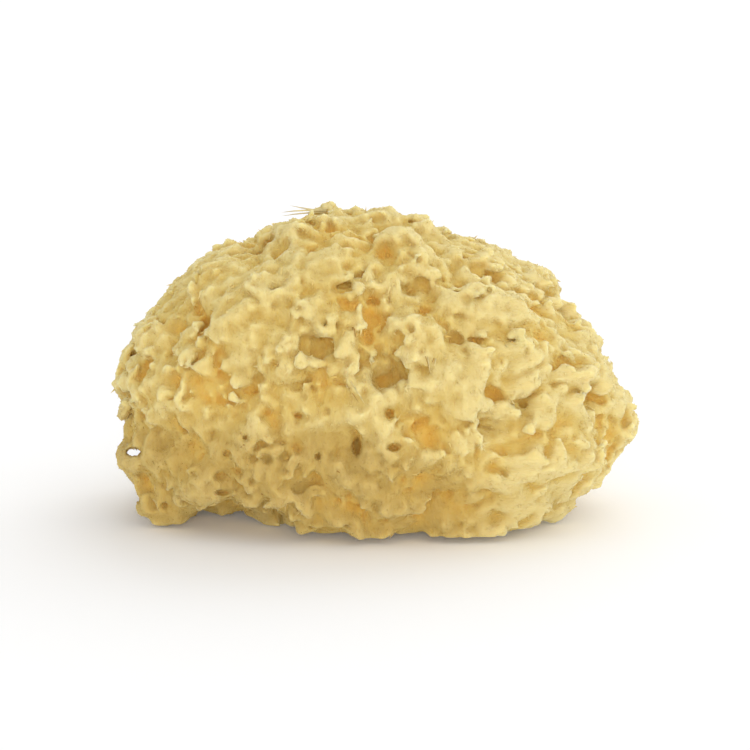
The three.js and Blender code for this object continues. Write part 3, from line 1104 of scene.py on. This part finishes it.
def strand_object(name, roots, ways, bends, lengths, radii):
    """Tapered threads as one mesh: three rings of three corners, a tip and a closed root each."""
    count = len(roots)
    arms = arms_around(ways, np.random.default_rng(SEED))
    points = np.empty((count, 10, 3))
    for ring, (share, thickness) in enumerate(STRAND_RINGS):
        centre = roots + lengths[:, None] * (ways * share + bends * share**2)
        for corner, arm in enumerate(arms):
            points[:, ring * 3 + corner] = centre + arm * (radii * thickness)[:, None]
    points[:, 9] = roots + lengths[:, None] * (ways + bends)
    faces = [(0, 2, 1)]
    for ring in (0, 3):
        for corner in range(3):
            a, b = ring + corner, ring + (corner + 1) % 3
            faces += [(a, b, b + 3), (a, b + 3, a + 3)]
    faces += [(6, 7, 9), (7, 8, 9), (8, 6, 9)]
    corners = (np.arange(count) * 10)[:, None, None] + np.array(faces)[None]
    return object_from(name, points.reshape(-1, 3), corners.reshape(-1, 3))


def spikes_on(skin, name, shades, count, length, radius, rng):
    """Short spikes on the skin, with its colours and their painted light and shade."""
    mesh = skin.data
    mesh.calc_loop_triangles()
    places = vertex_places(skin)
    corners = np.zeros(len(mesh.loop_triangles) * 3, np.int32)
    mesh.loop_triangles.foreach_get("vertices", corners)
    corners = corners.reshape(-1, 3)
    a, b, c = (places[corners[:, k]] for k in range(3))
    normals = np.cross(b - a, c - a)
    areas = np.linalg.norm(normals, axis=1)
    weight = areas * (a[:, 2] > SPIKE_LOWEST)
    chosen = rng.choice(len(weight), count, p=weight / weight.sum())
    u = np.sqrt(rng.random((count, 1)))
    v = rng.random((count, 1))
    roots = a[chosen] * (1 - u) + b[chosen] * u * (1 - v) + c[chosen] * u * v
    out = normals[chosen] / areas[chosen][:, None]
    ways = SPIKE_OUT * out + SPIKE_FLOW * flow(roots, rng) + SPIKE_STRAY * any_way(count, rng)
    ways /= np.linalg.norm(ways, axis=1, keepdims=True)
    arms = arms_around(ways, rng)
    radii = rng.uniform(*radius, (count, 1))
    points = np.empty((count, 4, 3))
    for corner, arm in enumerate(arms):
        points[:, corner] = roots - out * SPIKE_ROOT + arm * radii
    points[:, 3] = roots + ways * rng.uniform(*length, (count, 1))
    faces = np.array([(0, 2, 1), (0, 1, 3), (1, 2, 3), (2, 0, 3)])
    spikes = (np.arange(count) * 4)[:, None, None] + faces[None]
    made = object_from(name, points.reshape(-1, 3), spikes.reshape(-1, 3))
    made.data.shade_flat()
    for label, values in zip(("painted_shade_tone", "skin"), shades):
        point_values(made, label, np.repeat(values[corners[chosen, 0]], 4))
    return made


def front_strands(skin, name, rows):
    """The loose strands that the photograph shows, lying on the skin."""
    tree = BVHTree.FromPolygons(vertex_places(skin).tolist(), [p.vertices for p in skin.data.polygons])
    rng = np.random.default_rng(SEED)
    roots, ways, lengths, radii = [], [], [], []
    for across, up, length, angle, radius in rows:
        root = seen_point(tree, across, up)
        if root is None:
            continue
        turn = math.radians(angle)
        roots.append(root + VIEW_BACK * radius)
        ways.append(VIEW_RIGHT * math.cos(turn) + VIEW_UP * math.sin(turn) + VIEW_BACK * STRAND_LIFT)
        lengths.append(length)
        radii.append(radius)
    bends = STRAND_BEND * any_way(len(roots), rng)
    return strand_object(name, *map(np.array, (roots, ways, bends, lengths, radii)))


# Stage, camera and lights


def add_camera():
    """A camera at the photograph's angle, as far off as makes the sponge as large as it is there."""
    data = bpy.data.cameras.new("camera")
    data.lens = LENS
    data.sensor_width = SENSOR
    made = bpy.data.objects.new("camera", data)
    bpy.context.scene.collection.objects.link(made)
    made.location = EYE * MM
    made.rotation_mode = "QUATERNION"
    made.rotation_quaternion = Vector(-VIEW_BACK).to_track_quat("-Z", "Y")
    bpy.context.scene.camera = made


def add_light(name, toward, energy, angle):
    """A soft light, as the way from the sponge toward it, its energy and its breadth in degrees."""
    data = bpy.data.lights.new(name, "SUN")
    data.energy = energy
    data.angle = math.radians(angle)
    made = bpy.data.objects.new(name, data)
    bpy.context.scene.collection.objects.link(made)
    made.rotation_mode = "QUATERNION"
    made.rotation_quaternion = Vector(toward).to_track_quat("Z", "Y")


def add_stage():
    """A plain pale floor, a white surround and soft lights."""
    half = FLOOR_HALF / MM
    corners = np.array([(-half, -half, 0), (half, -half, 0), (half, half, 0), (-half, half, 0)])
    floor = object_from("floor", corners, np.array([[0, 1, 2, 3]]))
    paint = Nodes("floor_paint")
    paint.shader.inputs["Base Color"].default_value = (FLOOR_WHITE, FLOOR_WHITE, FLOOR_WHITE, 1)
    paint.shader.inputs["Roughness"].default_value = 1.0
    paint.shader.inputs["Emission Color"].default_value = (1, 1, 1, 1)
    paint.shader.inputs["Emission Strength"].default_value = FLOOR_GLOW
    floor.data.materials.append(paint.material)
    world = bpy.data.worlds.new("surround")
    world.use_nodes = True
    background = world.node_tree.nodes["Background"]
    background.inputs["Color"].default_value = (1, 1, 1, 1)
    background.inputs["Strength"].default_value = SURROUND
    bpy.context.scene.world = world
    for light in LIGHTS:
        add_light(*light)
    bpy.context.scene.view_settings.view_transform = "Standard"


add_camera()
add_stage()

field, hull = sculpted()
skin = skin_object(field)
shades = mark_painted_shade(skin, field, hull)
skin.data.materials.append(spongin_material())
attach(skin, "root")
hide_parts("sponge")

spike_rng = np.random.default_rng(SEED + 1)
spike_look = spike_material()
pale_look = strand_material("fibre_pale", STRAND_PALE)
brown_look = strand_material("fibre_brown", STRAND_BROWN)
dressed = (
    (spikes_on(skin, "sponge_fuzz", shades, *FUZZ, spike_rng), spike_look),
    (spikes_on(skin, "sponge_shreds", shades, *SHREDS, spike_rng), spike_look),
    (front_strands(skin, "sponge_strands_pale", PALE_STRANDS), pale_look),
    (front_strands(skin, "sponge_strands_brown", BROWN_STRANDS), brown_look),
)
for piece, look in dressed:
    piece.data.materials.append(look)
    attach(piece, "root")
